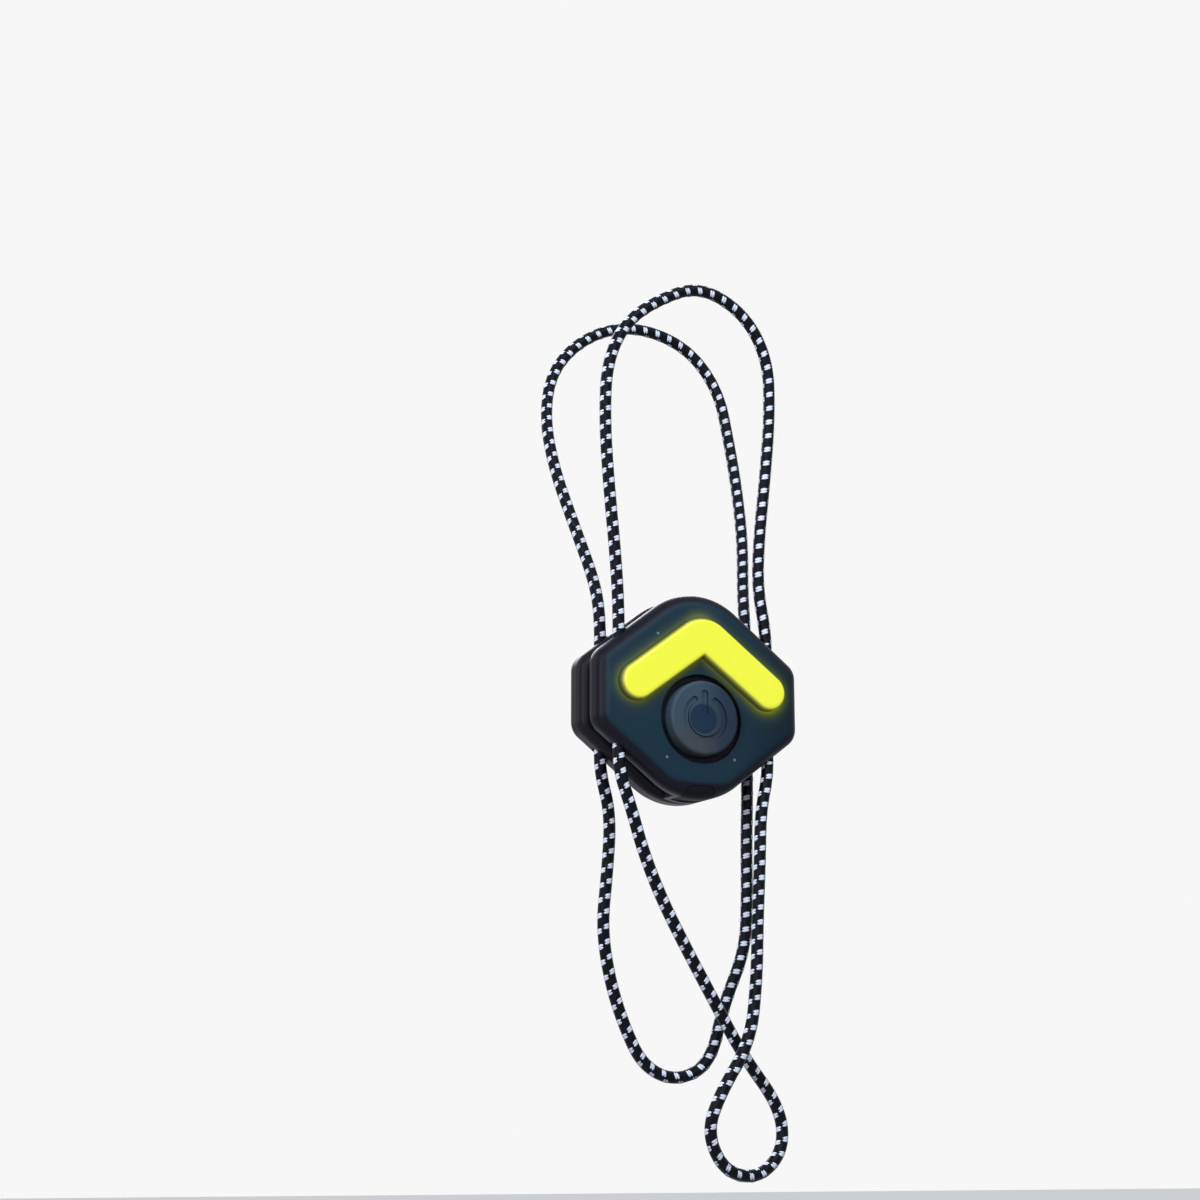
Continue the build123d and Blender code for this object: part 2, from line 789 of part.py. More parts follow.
for label, side in (("battery_lead_red", -1), ("battery_lead_black", 1)):
    lead_x = header_x + side * lead_pitch / 2
    start = pod_point(lead_x, plug_back_depth, header_z)
    corner = pod_point(lead_x, lead_exit_depth, header_z)
    end = pod_point(lead_x, lead_exit_depth, -battery_height / 2)
    with BuildPart() as lead:
        with BuildLine():
            FilletPolyline(start, corner, end, radius=lead_bend_radius)
        with BuildSketch(Plane(origin=start, z_dir=(0, 1, 0))):
            Circle(lead_diameter / 2)
        sweep()
    finish(lead.part, label)

# Charging socket, whose mouth faces down
socket_mouth_height = -half_height + socket_inset
with BuildPart() as charging_socket:
    with BuildSketch(level(socket_mouth_height, 0, port_centre_depth)):
        RectangleRounded(socket_width, socket_thickness, socket_corner_round)
    extrude(amount=socket_length)
    with BuildSketch(level(socket_mouth_height, 0, port_centre_depth)):
        RectangleRounded(
            socket_width - 2 * socket_wall,
            socket_thickness - 2 * socket_wall,
            socket_corner_round - socket_wall,
        )
    extrude(amount=socket_length - socket_wall, mode=Mode.SUBTRACT)
    with BuildSketch(level(socket_mouth_height + socket_recess, 0, port_centre_depth)):
        Rectangle(socket_tongue_width, socket_tongue_thickness)
    extrude(amount=socket_length - socket_recess)
finish(charging_socket.part, "charging_socket")


# Screws of the case, with a cross in each head, and of the board, with a slot
with BuildPart() as case_screws:
    add(screw_columns(head_seat_depth - screw_length, screw_radius, screw_length))
    add(screw_columns(head_seat_depth, screw_head_radius, screw_head_height))
    with BuildSketch(at_depth(head_seat_depth + screw_head_height)):
        with GridLocations(screw_spacing_x, screw_spacing_z, 2, 2):
            Rectangle(2 * screw_radius, cross_width)
            Rectangle(cross_width, 2 * screw_radius)
    extrude(amount=cross_depth, mode=Mode.SUBTRACT)
finish(case_screws.part, "case_screws")

with BuildPart() as board_screws:
    with BuildSketch(at_depth(board_back_depth)):
        with Locations((0, post_height)):
            with GridLocations(post_spacing, 0, 2, 1):
                Circle(board_screw_radius)
    extrude(amount=board_screw_length)
    with BuildSketch(at_depth(board_back_depth)):
        with Locations((0, post_height)):
            with GridLocations(post_spacing, 0, 2, 1):
                Circle(board_screw_head_radius)
    extrude(amount=-board_screw_head_height)
    with BuildSketch(at_depth(board_back_depth + board_screw_head_height)):
        with Locations((0, post_height)):
            with GridLocations(post_spacing, 0, 2, 1):
                Rectangle(2 * board_screw_head_radius, screw_slot_width)
    extrude(amount=screw_slot_depth, mode=Mode.SUBTRACT)
finish(board_screws.part, "board_screws")

# Elastic cord inside the four tunnels, and the sleeve that joins each cord's two ends
for row, depth in (("front", tunnel_front_depth), ("back", tunnel_back_depth)):
    for side, direction in (("left", -1), ("right", 1)):
        with BuildPart() as stretch:
            with BuildSketch(level(-tunnel_mouth_height, direction * tunnel_x, depth)):
                Circle(cord_radius)
            extrude(amount=2 * tunnel_mouth_height)
        finish(stretch.part, f"cord_tunnel_{row}_{side}")
    with BuildPart() as sleeve:
        with BuildSketch(level(-sleeve_length / 2, -tunnel_x, depth)):
            Circle(cord_radius + sleeve_wall)
            Circle(cord_radius, mode=Mode.SUBTRACT)
        extrude(amount=sleeve_length)
    finish(sleeve.part, f"cord_sleeve_{row}")

# Free stretches of the two cord loops. Each list goes from the left tunnel to the right one.
# x from the pod's middle, depth behind its face, height from its middle
upper_front_route = [
    (-tunnel_x, tunnel_front_depth, tunnel_mouth_height),
    (-tunnel_x, tunnel_front_depth, 22.0),
    (-22.0, 3.7, 35.0),
    (-24.0, 3.2, 52.0),
    (-25.5, 2.6, 69.0),
    (-25.2, 2.0, 84.0),
    (-20.5, 1.5, 95.0),
    (-12.2, 1.2, 102.2),
    (1.0, 1.0, 108.8),
    (14.5, 1.2, 103.3),
    (21.7, 1.5, 91.5),
    (22.1, 2.0, 76.0),
    (20.9, 2.7, 60.0),
    (19.1, 3.3, 43.0),
    (18.7, 3.7, 30.0),
    (tunnel_x, tunnel_front_depth, 19.0),
    (tunnel_x, tunnel_front_depth, tunnel_mouth_height),
]
upper_back_route = [
    (-tunnel_x, tunnel_back_depth, tunnel_mouth_height),
    (-tunnel_x, tunnel_back_depth, 21.5),
    (-21.3, 17.5, 31.0),
    (-24.6, 22.0, 45.5),
    (-28.3, 27.0, 62.0),
    (-29.1, 31.4, 77.0),
    (-26.4, 34.0, 90.0),
    (-19.2, 34.8, 99.7),
    (-8.5, 35.1, 106.3),
    (3.5, 35.1, 107.8),
    (16.0, 34.5, 103.4),
    (24.1, 33.3, 92.5),
    (25.6, 30.5, 77.5),
    (25.7, 26.3, 62.0),
    (24.6, 21.8, 46.5),
    (21.9, 17.3, 31.5),
    (tunnel_x, tunnel_back_depth, 22.0),
    (tunnel_x, tunnel_back_depth, tunnel_mouth_height),
]
lower_front_route = [
    (-tunnel_x, tunnel_front_depth, -tunnel_mouth_height),
    (-tunnel_x, tunnel_front_depth, -19.8),
    (-17.6, 4.3, -28.5),
    (-13.9, 4.8, -39.6),
    (-8.7, 5.3, -50.8),
    (-1.9, 5.9, -62.2),
    (6.0, 6.6, -74.6),
    (14.5, 7.3, -88.0),
    (25.2, 7.4, -100.8),
    (25.3, 6.6, -111.2),
    (17.4, 5.4, -117.8),
    (7.2, 4.0, -116.0),
    (2.0, 2.8, -107.0),
    (4.9, 1.8, -98.0),
    (13.4, 1.2, -85.0),
    (15.7, 1.7, -70.0),
    (16.6, 2.4, -55.0),
    (17.9, 3.1, -40.0),
    (18.6, 3.6, -27.8),
    (tunnel_x, tunnel_front_depth, -18.6),
    (tunnel_x, tunnel_front_depth, -tunnel_mouth_height),
]
lower_back_route = [
    (-tunnel_x, tunnel_back_depth, -tunnel_mouth_height),
    (-tunnel_x, tunnel_back_depth, -18.8),
    (-17.7, 15.3, -29.3),
    (-18.3, 16.2, -44.0),
    (-19.4, 17.0, -57.0),
    (-16.9, 17.7, -70.0),
    (-12.8, 18.1, -81.0),
    (-7.6, 18.2, -90.7),
    (1.4, 18.0, -94.4),
    (10.9, 17.3, -90.0),
    (14.2, 16.3, -75.5),
    (20.2, 15.4, -61.5),
    (20.7, 15.0, -48.0),
    (20.6, 14.8, -34.0),
    (tunnel_x, tunnel_back_depth, -22.0),
    (tunnel_x, tunnel_back_depth, -tunnel_mouth_height),
]
bend_share = 0.45


def cord_tube(label, route):
    """A tube along a route: straight runs joined by arcs as large as the runs allow."""
    points = [Vector(*pod_point(*place)) for place in route]
    runs = [after - before for before, after in zip(points, points[1:])]
    radii = []
    for before, after in zip(runs, runs[1:]):
        half_turn = math.radians(before.get_angle(after)) / 2
        radii.append(bend_share * min(before.length, after.length) / math.tan(half_turn))
    with BuildPart() as tube:
        with BuildLine() as path:
            FilletPolyline(*points, radius=radii)
        with BuildSketch(Plane(origin=points[0], z_dir=runs[0])):
            Circle(cord_radius)
        sweep()
    length = sum(edge.length for edge in path.edges())
    expected = length * math.pi * cord_radius**2
    print(
        f"{label}: length {length:.0f}, least radius {min(radii):.1f},"
        f" volume {tube.part.volume:.0f} of {expected:.0f}"
    )
    print("  radii", [round(radius) for radius in radii])
    finish(tube.part, label)


cord_tube("cord_upper_front", upper_front_route)
cord_tube("cord_upper_back", upper_back_route)
cord_tube("cord_lower_front", lower_front_route)
cord_tube("cord_lower_back", lower_back_route)
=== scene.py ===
# %% [markdown]
# # A bicycle turn signal light, dressed for its photograph
#
# The light is a six-sided pod, 57 millimetres wide. A chevron glows on its face over a round
# power button, and the pod hangs in two closed loops of flecked elastic cord that run through it.
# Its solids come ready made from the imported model, so this lesson is about what the eye adds:
# grain in the plastic, light in the lens, threads in the cord.
#
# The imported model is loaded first, because every piece that is made here sits on it.

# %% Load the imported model
import json
import math

import bpy
import numpy as np
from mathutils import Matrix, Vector


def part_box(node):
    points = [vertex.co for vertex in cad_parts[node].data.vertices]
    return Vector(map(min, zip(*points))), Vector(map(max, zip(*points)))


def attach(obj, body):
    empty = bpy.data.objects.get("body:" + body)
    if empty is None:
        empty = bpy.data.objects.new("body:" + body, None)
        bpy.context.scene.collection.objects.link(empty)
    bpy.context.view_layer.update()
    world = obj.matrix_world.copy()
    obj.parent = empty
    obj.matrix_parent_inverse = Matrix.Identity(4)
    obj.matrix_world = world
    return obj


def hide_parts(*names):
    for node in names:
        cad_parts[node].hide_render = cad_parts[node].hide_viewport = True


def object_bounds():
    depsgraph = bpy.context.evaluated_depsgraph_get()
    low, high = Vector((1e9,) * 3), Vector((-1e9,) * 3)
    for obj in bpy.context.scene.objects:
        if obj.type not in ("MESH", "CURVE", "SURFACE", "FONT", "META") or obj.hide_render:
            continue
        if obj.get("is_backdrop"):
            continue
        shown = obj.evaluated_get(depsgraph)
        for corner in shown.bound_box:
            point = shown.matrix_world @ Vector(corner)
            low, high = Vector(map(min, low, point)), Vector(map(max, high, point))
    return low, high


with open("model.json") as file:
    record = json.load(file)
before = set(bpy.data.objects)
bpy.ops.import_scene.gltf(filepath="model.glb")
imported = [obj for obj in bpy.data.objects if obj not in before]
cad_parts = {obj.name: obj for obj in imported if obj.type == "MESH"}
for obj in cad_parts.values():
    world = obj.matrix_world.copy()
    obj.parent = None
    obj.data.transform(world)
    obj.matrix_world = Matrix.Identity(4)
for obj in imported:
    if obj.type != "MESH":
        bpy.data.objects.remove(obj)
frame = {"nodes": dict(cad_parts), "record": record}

MM = 0.001
cad_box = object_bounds()
nodes = frame["nodes"]
print("packed nodes:", len(nodes))

# %% [markdown]
# ## The camera
#
# The photograph was taken from a little to the left of the light and from below it. A constraint
# could aim a camera at the pod, but the photograph looks past it, so the camera gets a place in
# the shared frame and two angles. They were worked out once from the pod's corners and the
# lens's outline. A camera that isn't turned looks straight down, and a quarter turn brings it
# level. Its long lens keeps the loops from spreading towards the edges.

# %% Place the camera
camera_place = (-278.61 * MM, -539.84 * MM, -195.92 * MM)
camera_azimuth = math.radians(25.69)
camera_elevation = math.radians(12.91)
camera_lens = 72
camera_sensor = 36
quarter_turn = math.pi / 2

camera_data = bpy.data.cameras.new("camera")
camera_data.lens = camera_lens
camera_data.sensor_width = camera_sensor
camera_data.sensor_fit = "HORIZONTAL"
camera = bpy.data.objects.new("camera", camera_data)
camera.location = camera_place
camera.rotation_euler = (quarter_turn + camera_elevation, 0, -camera_azimuth)
bpy.context.scene.collection.objects.link(camera)
bpy.context.scene.camera = camera
bpy.context.scene.view_settings.view_transform = "Standard"
print("camera at", tuple(round(value, 3) for value in camera.location))

# %% [markdown]
# ## Surfaces as whole arrays
#
# Every new piece here is a grid of points that numpy works out in one go. Blender's own tools
# could draw a tube as well, but not one whose radius follows a weave, and a formula can be read
# and changed. A grid has rows and columns, and its columns can close on themselves, as a tube's
# do around the cord.

# %% Turn a grid of points into a mesh
def grid_piece(name, points, close_columns=False, uv=None):
    """Make an object from points[row, column, xyz].

    Each face joins the four neighbours (i, j), (i, j+1), (i+1, j+1), (i+1, j). With
    close_columns the last column joins the first. uv[row, column, 2] has one column more
    than the points where the columns close, so that the pattern doesn't run backwards there.
    """
    rows, columns = points.shape[:2]
    index = np.arange(rows * columns).reshape(rows, columns)
    if close_columns:
        index = np.concatenate([index, index[:, :1]], axis=1)
    corners = np.stack([index[:-1, :-1], index[:-1, 1:], index[1:, 1:], index[1:, :-1]], axis=-1)
    mesh = bpy.data.meshes.new(name)
    mesh.from_pydata(points.reshape(-1, 3).tolist(), [], corners.reshape(-1, 4).tolist())
    mesh.polygons.foreach_set("use_smooth", np.ones(len(mesh.polygons), dtype=bool))
    if uv is not None:
        around = np.stack([uv[:-1, :-1], uv[:-1, 1:], uv[1:, 1:], uv[1:, :-1]], axis=2)
        layer = mesh.uv_layers.new(name="pattern")
        layer.data.foreach_set("uv", around.reshape(-1).astype(np.float32))
    mesh.update()
    piece = bpy.data.objects.new(name, mesh)
    bpy.context.scene.collection.objects.link(piece)
    return piece


print("grids become meshes with", grid_piece.__name__)

# %% [markdown]
# ## The routes of the cords
#
# Two closed loops of elastic cord run through the pod. What shows of each is an upper stretch,
# which the light hangs by, and a lower stretch that hangs free. The points are those of the solid
# model, in millimetres across the pod, back from its face and up from its middle, so one small
# function takes them into the shared frame. Each stretch has its length in metres and, in whole
# turns, how far its threads are twisted at either end.

# %% Write down the routes
pod_forward = 19.0
pod_drop = 85.0
pod_depth = 18.7
tunnel_x = 21.0
front_depth = 4.0
back_depth = 14.7
mouth = 15.0
cord_diameter = 3.1 * MM
near_twist = 0.022
far_twist = 0.080

upper_front_points = [
    (-tunnel_x, front_depth, mouth), (-tunnel_x, front_depth, 22.0), (-22.0, 3.7, 35.0),
    (-24.0, 3.2, 52.0), (-25.5, 2.6, 69.0), (-25.2, 2.0, 84.0), (-20.5, 1.5, 95.0),
    (-12.2, 1.2, 102.2), (1.0, 1.0, 108.8), (14.5, 1.2, 103.3), (21.7, 1.5, 91.5),
    (22.1, 2.0, 76.0), (20.9, 2.7, 60.0), (19.1, 3.3, 43.0), (18.7, 3.7, 30.0),
    (tunnel_x, front_depth, 19.0), (tunnel_x, front_depth, mouth),
]
upper_back_points = [
    (-tunnel_x, back_depth, mouth), (-tunnel_x, back_depth, 21.5), (-21.3, 17.5, 31.0),
    (-24.6, 22.0, 45.5), (-28.3, 27.0, 62.0), (-29.1, 31.4, 77.0), (-26.4, 34.0, 90.0),
    (-19.2, 34.8, 99.7), (-8.5, 35.1, 106.3), (3.5, 35.1, 107.8), (16.0, 34.5, 103.4),
    (24.1, 33.3, 92.5), (25.6, 30.5, 77.5), (25.7, 26.3, 62.0), (24.6, 21.8, 46.5),
    (21.9, 17.3, 31.5), (tunnel_x, back_depth, 22.0), (tunnel_x, back_depth, mouth),
]
lower_front_points = [
    (-tunnel_x, front_depth, -mouth), (-tunnel_x, front_depth, -19.8), (-17.6, 4.3, -28.5),
    (-13.9, 4.8, -39.6), (-8.7, 5.3, -50.8), (-1.9, 5.9, -62.2), (6.0, 6.6, -74.6),
    (14.5, 7.3, -88.0), (25.2, 7.4, -100.8), (25.3, 6.6, -111.2), (17.4, 5.4, -117.8),
    (7.2, 4.0, -116.0), (2.0, 2.8, -107.0), (4.9, 1.8, -98.0), (13.4, 1.2, -85.0),
    (15.7, 1.7, -70.0), (16.6, 2.4, -55.0), (17.9, 3.1, -40.0), (18.6, 3.6, -27.8),
    (tunnel_x, front_depth, -18.6), (tunnel_x, front_depth, -mouth),
]
lower_back_points = [
    (-tunnel_x, back_depth, -mouth), (-tunnel_x, back_depth, -18.8), (-17.7, 15.3, -29.3),
    (-18.3, 16.2, -44.0), (-19.4, 17.0, -57.0), (-16.9, 17.7, -70.0), (-12.8, 18.1, -81.0),
    (-7.6, 18.2, -90.7), (1.4, 18.0, -94.4), (10.9, 17.3, -90.0), (14.2, 16.3, -75.5),
    (20.2, 15.4, -61.5), (20.7, 15.0, -48.0), (20.6, 14.8, -34.0), (tunnel_x, back_depth, -22.0),
    (tunnel_x, back_depth, -mouth),
]
cord_routes = {
    "cord_upper_front": (upper_front_points, 0.210, (near_twist, far_twist)),
    "cord_upper_back": (upper_back_points, 0.221, (near_twist, far_twist)),
    "cord_lower_front": (lower_front_points, 0.233, (-near_twist, -far_twist)),
    "cord_lower_back": (lower_back_points, 0.174, (-near_twist, -far_twist)),
}


def in_frame(points):
    """Take points on the pod into the shared frame: (x, depth - forward, height - drop)."""
    return (np.array(points) - (0, pod_forward, pod_drop)) * MM


print("cord stretches:", ", ".join(cord_routes))

# %% [markdown]
# ## One smooth line for each cord
#
# A cord under tension has no corners. Arcs could be fitted between the points, but a NURBS
# spline with the route's points as its control points needs no fitting, and Blender itself turns
# it into a chain of close points. The cord's skin follows those, spread evenly.

# %% Read the smooth line of a route
spline_order = 3
line_steps = 24
ring_step = 0.19 * MM


def smooth_line(name, points):
    """Give the line of one open NURBS spline whose control points are the route's."""
    curve = bpy.data.curves.new(name + "_line", "CURVE")
    curve.dimensions = "3D"
    spline = curve.splines.new("NURBS")
    spline.points.add(len(points) - 1)
    weights = np.ones((len(points), 1))
    spline.points.foreach_set("co", np.hstack([in_frame(points), weights]).reshape(-1))
    spline.order_u = spline_order
    spline.use_endpoint_u = True
    spline.resolution_u = line_steps
    holder = bpy.data.objects.new(name + "_line", curve)
    mesh = bpy.data.meshes.new_from_object(holder)
    line = np.empty(len(mesh.vertices) * 3)
    mesh.vertices.foreach_get("co", line)
    bpy.data.objects.remove(holder)
    return line.reshape(-1, 3)


def even_line(line, step):
    """Spread points evenly along a line: each coordinate is interpolated over the arc length."""
    length = np.concatenate([[0], np.cumsum(np.linalg.norm(np.diff(line, axis=0), axis=1))])
    places = np.linspace(0, length[-1], int(length[-1] / step) + 1)
    evenly = [np.interp(places, length, line[:, axis]) for axis in range(3)]
    return np.stack(evenly, axis=1), places


print("a ring of the skin every", round(ring_step / MM, 2), "mm")

# %% [markdown]
# ## The stitches in the cord's cover
#
# The cord is rubber inside a braided cover. Most of its threads are black. Pale threads come up
# in four rows, a quarter turn apart, and each time two short stitches show side by side. A
# picture of the cover could be wrapped around, but a formula stays sharp at any distance and
# serves twice, for the relief here and for the colour further on. It reads the turn around the
# cord and the way along it, as numbers or as the sockets of a shader.

# %% Write the formula of a stitch
fleck_rows = 4
fleck_pitch = 3.73 * MM
fleck_phase_share = 0.34
fleck_turn = 0.20
fleck_height_share = 0.18
fleck_gap_share = 0.17
fleck_slant_share = 0.11


def stitch_oval(turn, along, nearest):
    """Say how far (turn, along) lies from a stitch's middle: 0 there, and 1 at its edge.

    turn counts whole turns around the cord and along counts fleck pitches. A row's stitches
    are pairs of ovals, side by side along the cord, that lean with the turn. The result is
    (across / half the width) ** 2 + (lengthwise / half the height) ** 2. nearest rounds to
    the nearest whole number.
    """
    row = nearest(turn * fleck_rows)
    across = turn - row / fleck_rows
    lean = across * (fleck_slant_share / fleck_turn)
    place = along - row % fleck_rows * fleck_phase_share - lean
    lengthwise = abs(place - nearest(place)) - fleck_gap_share / 2
    return (across / (fleck_turn / 2)) ** 2 + (lengthwise / (fleck_height_share / 2)) ** 2


print("a stitch comes every", round(fleck_pitch / MM, 2), "mm in each of", fleck_rows, "rows")

# %% [markdown]
# ## The cord's skin
#
# The fine braid is two families of slanted ridges that cross, and the pale stitches stand proud
# of it. A bump in the material would leave the cord's outline smooth, so ridges and stitches are
# real relief: a circle is swept along the line, and its radius follows them.

# %% Shape the braid and its stitches
cord_sides = 30
fleck_relief = 0.10 * MM
braid_turns = 10
braid_pitch = 0.87 * MM
braid_relief = 0.045 * MM


def cord_surface(line, places, twist):
    """Sweep a braided circle along a line.

    Each ring's side vector is the last one less its part along the new direction, so that the
    rings don't spin. The threads then turn evenly from twist[0] to twist[1]. The radius is the
    cord's, plus the ridges, cos(2 pi (turns + along / pitch)) cos(2 pi (turns - along / pitch)),
    plus the stitches, less half their height.
    """
    ahead = np.gradient(line, axis=0)
    ahead /= np.linalg.norm(ahead, axis=1, keepdims=True)
    side = np.empty_like(line)
    last = np.cross(ahead[0], (0, 1, 0))
    for ring, direction in enumerate(ahead):
        last = last - direction * np.dot(last, direction)
        last /= np.linalg.norm(last)
        side[ring] = last
    other = np.cross(ahead, side)
    turn = np.linspace(0, 1, cord_sides, endpoint=False)[None, :]
    along = places[:, None]
    weave = np.cos(2 * np.pi * (braid_turns * turn + along / braid_pitch))
    weave = weave * np.cos(2 * np.pi * (braid_turns * turn - along / braid_pitch))
    oval = stitch_oval(turn, along / fleck_pitch, np.round)
    raised = np.clip(1 - oval, 0, 1) ** 0.5 * fleck_relief
    radius = cord_diameter / 2 - fleck_relief / 2 + weave * braid_relief + raised
    angle = 2 * np.pi * (turn + np.linspace(*twist, len(line))[:, None])
    sideways = np.cos(angle)[..., None] * side[:, None, :]
    crossways = np.sin(angle)[..., None] * other[:, None, :]
    return line[:, None, :] + (sideways + crossways) * radius[..., None]


def cord_pattern(places):
    """Lay the pattern: u counts turns around the cord and v counts fleck pitches along it."""
    turn = np.linspace(0, 1, cord_sides + 1)[None, :] + np.zeros((len(places), 1))
    along = places[:, None] / fleck_pitch + np.zeros((1, cord_sides + 1))
    return np.stack([turn, along], axis=-1)


print("sides around the cord:", cord_sides)

# %% [markdown]
# ## The four free stretches
#
# Each skin takes the place of one plain tube of the solid model and rides on the pod. It could be
# cut into short lengths, but the cord has no joints, so a skin is one piece along its whole
# stretch.

# %% Make the four stretches
path_stride = 8

cords = {}
for name, (points, length, twist) in cord_routes.items():
    centre, places = even_line(smooth_line(name, points), ring_step)
    skin = cord_surface(centre, places, twist)
    piece = grid_piece("braided_" + name, skin, True, cord_pattern(places))
    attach(piece, "pod")
    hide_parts(name)
    tuple(in_frame(points[0]))
    centre[::path_stride]
    cords[name] = piece
    print(piece.name, "length", round(float(places[-1]), 4), "faces", len(piece.data.polygons))

# %% [markdown]
# ## Sums on sockets
#
# A finish is a small graph of nodes. Built node by node, a formula such as a distance is lost
# among its Math nodes. So one class wraps a socket and lets Python's own operators add those
# nodes, and a sum on sockets reads like the same sum on numbers.

# %% Let sockets work in sums
class Value:
    """A socket that works in sums. Each operator adds one Math node and gives its result."""

    def __init__(self, graph, socket):
        self.graph = graph
        self.socket = socket

    def math(self, operation, *numbers):
        sockets = dict(enumerate(numbers))
        return self.graph.node("ShaderNodeMath", {"operation": operation}, sockets)

    def __add__(self, other):
        return self.math("ADD", self, other)

    def __sub__(self, other):
        return self.math("SUBTRACT", self, other)

    def __rsub__(self, other):
        return self.math("SUBTRACT", other, self)

    def __mul__(self, other):
        return self.math("MULTIPLY", self, other)

    def __truediv__(self, other):
        return self.math("DIVIDE", self, other)

    def __rtruediv__(self, other):
        return self.math("DIVIDE", other, self)

    def __pow__(self, other):
        return self.math("POWER", self, other)

    def __mod__(self, other):
        return self.math("FLOORED_MODULO", self, other)

    def __gt__(self, other):
        return self.math("GREATER_THAN", self, other)

    def __lt__(self, other):
        return self.math("LESS_THAN", self, other)

    def __abs__(self):
        return self.math("ABSOLUTE", self)

    def __round__(self):
        return self.math("ROUND", self)

    def __neg__(self):
        return self.math("MULTIPLY", self, -1)

    def least(self, other):
        return self.math("MINIMUM", self, other)

    def most(self, other):
        return self.math("MAXIMUM", self, other)

    def wave(self):
        """A cosine that runs between 0 and 1."""
        return self.math("COSINE", self) * 0.5 + 0.5

    def fade(self):
        """1 at zero or below, and less by a factor e for each 1 above: e ** -max(self, 0)."""
        return self.math("EXPONENT", -self.most(0))

    def angle(self, across):
        """The angle, in radians, of the point that lies self up and across to the side."""
        return self.math("ARCTAN2", self, across)

    __radd__ = __add__
    __rmul__ = __mul__


print("sums on sockets ready")

# %% [markdown]
# ## Every other node
#
# A node that isn't a sum comes from one method, which takes its type, its settings and what its
# sockets get. A few short methods then name the nodes that the finishes need most. The class
# serves a material and the world alike.

# %% Make nodes in one way
class Graph:
    """A tree of nodes, for a material or for the world."""

    def __init__(self, tree):
        self.tree = tree

    def feed(self, socket, value):
        """Link a Value, or write a number or a colour as the socket's own."""
        if isinstance(value, Value):
            self.tree.links.new(value.socket, socket)
        elif hasattr(value, "__len__") and len(value) == 3 and len(socket.default_value) == 4:
            socket.default_value = (*value, 1)
        else:
            socket.default_value = value

    def node(self, kind, settings=None, sockets=None, output=0):
        """Add any node: its settings first, then the values or links of its sockets."""
        new = self.tree.nodes.new(kind)
        for name, value in (settings or {}).items():
            setattr(new, name, value)
        for name, value in (sockets or {}).items():
            self.feed(new.inputs[name], value)
        return Value(self, new.outputs[output])

    def split(self, vector):
        """Take a vector apart into three Values."""
        parts = self.node("ShaderNodeSeparateXYZ", sockets={0: vector})
        return [Value(self, parts.socket.node.outputs[axis]) for axis in range(3)]

    def mix(self, share, first, second):
        """Mix two colours: share 0 gives the first.

        A Mix node has sockets for numbers, for vectors and for colours. The colours go into
        its inputs 6 and 7 and come out of its output 2.
        """
        sockets = {0: share, 6: first, 7: second}
        return self.node("ShaderNodeMix", {"data_type": "RGBA"}, sockets, output=2)

    def between(self, value, low, high):
        """Rise smoothly from 0 at low to 1 at high."""
        sockets = {"Value": value, "From Min": low, "From Max": high}
        return self.node("ShaderNodeMapRange", {"interpolation_type": "SMOOTHSTEP"}, sockets)

    def seen(self):
        """1 for rays of the camera, of gloss and through clear pieces, and 0 for the rest."""
        path = self.node("ShaderNodeLightPath").socket.node.outputs
        camera_ray, gloss_ray, clear_ray = [
            Value(self, path[title])
            for title in ("Is Camera Ray", "Is Glossy Ray", "Is Transmission Ray")
        ]
        return camera_ray.most(gloss_ray).most(clear_ray)


print("graph helper ready")

# %% [markdown]
# ## A finish is one material
#
# Its patterns read Object coordinates. Every piece here has its place in its mesh, so these are
# the shared frame's own: a pattern has a real size, needs no unwrapping, and moves with its piece.

# %% Wrap a material
class Finish(Graph):
    """One material: its shader and the coordinates that its patterns read."""

    def __init__(self, name, **settings):
        self.material = bpy.data.materials.new(name)
        self.material.use_nodes = True
        super().__init__(self.material.node_tree)
        self.shader = self.tree.nodes["Principled BSDF"]
        self.set(**settings)

    def set(self, **settings):
        """Feed the shader: base_color becomes its socket Base Color."""
        for name, value in settings.items():
            title = name.replace("_", " ").title().replace("Ior", "IOR")
            self.feed(self.shader.inputs[title], value)

    def place(self):
        return self.node("ShaderNodeTexCoord", output="Object")

    def facing(self):
        """The depth part of the surface's normal: -1 where it looks straight to the front."""
        _, depth, _ = self.split(self.node("ShaderNodeNewGeometry", output="Normal"))
        return depth

    def noise(self, size, detail, stretch=(1, 1, 1)):
        """Noise from 0 to 1 whose lumps are about size metres across, less where stretched."""
        scale = [share / size for share in stretch]
        scaled = self.node("ShaderNodeMapping", sockets={"Vector": self.place(), "Scale": scale})
        sockets = {"Vector": scaled, "Scale": 1.0, "Detail": detail}
        return self.node("ShaderNodeTexNoise", sockets=sockets)

    def bump(self, height, depth):
        """Bend the shading normal by height, which is depth metres high at 1."""
        normal = self.node("ShaderNodeBump", sockets={"Height": height, "Distance": depth})
        self.set(normal=normal)


print("finish helper ready")

# %% [markdown]
# ## Moulded plastic
#
# The shells, the button and most inner pieces are moulded. A spark-eroded tool leaves a very
# fine, even grain that spreads the light, and use leaves slow, faint changes of shade and gloss.
# Pictures of plastic could show both, but two sizes of noise do it without a seam: fine noise
# bends the normal, and slow noise shades the colour and the gloss.

# %% Mould a plastic
grain_size = 0.16 * MM
grain_depth = 0.012 * MM
slow_size = 9 * MM
slow_share = 0.6
slow_gloss = 0.12
deep_gain = 0.82
pale_gain = 1.22
pale_lift = 0.002


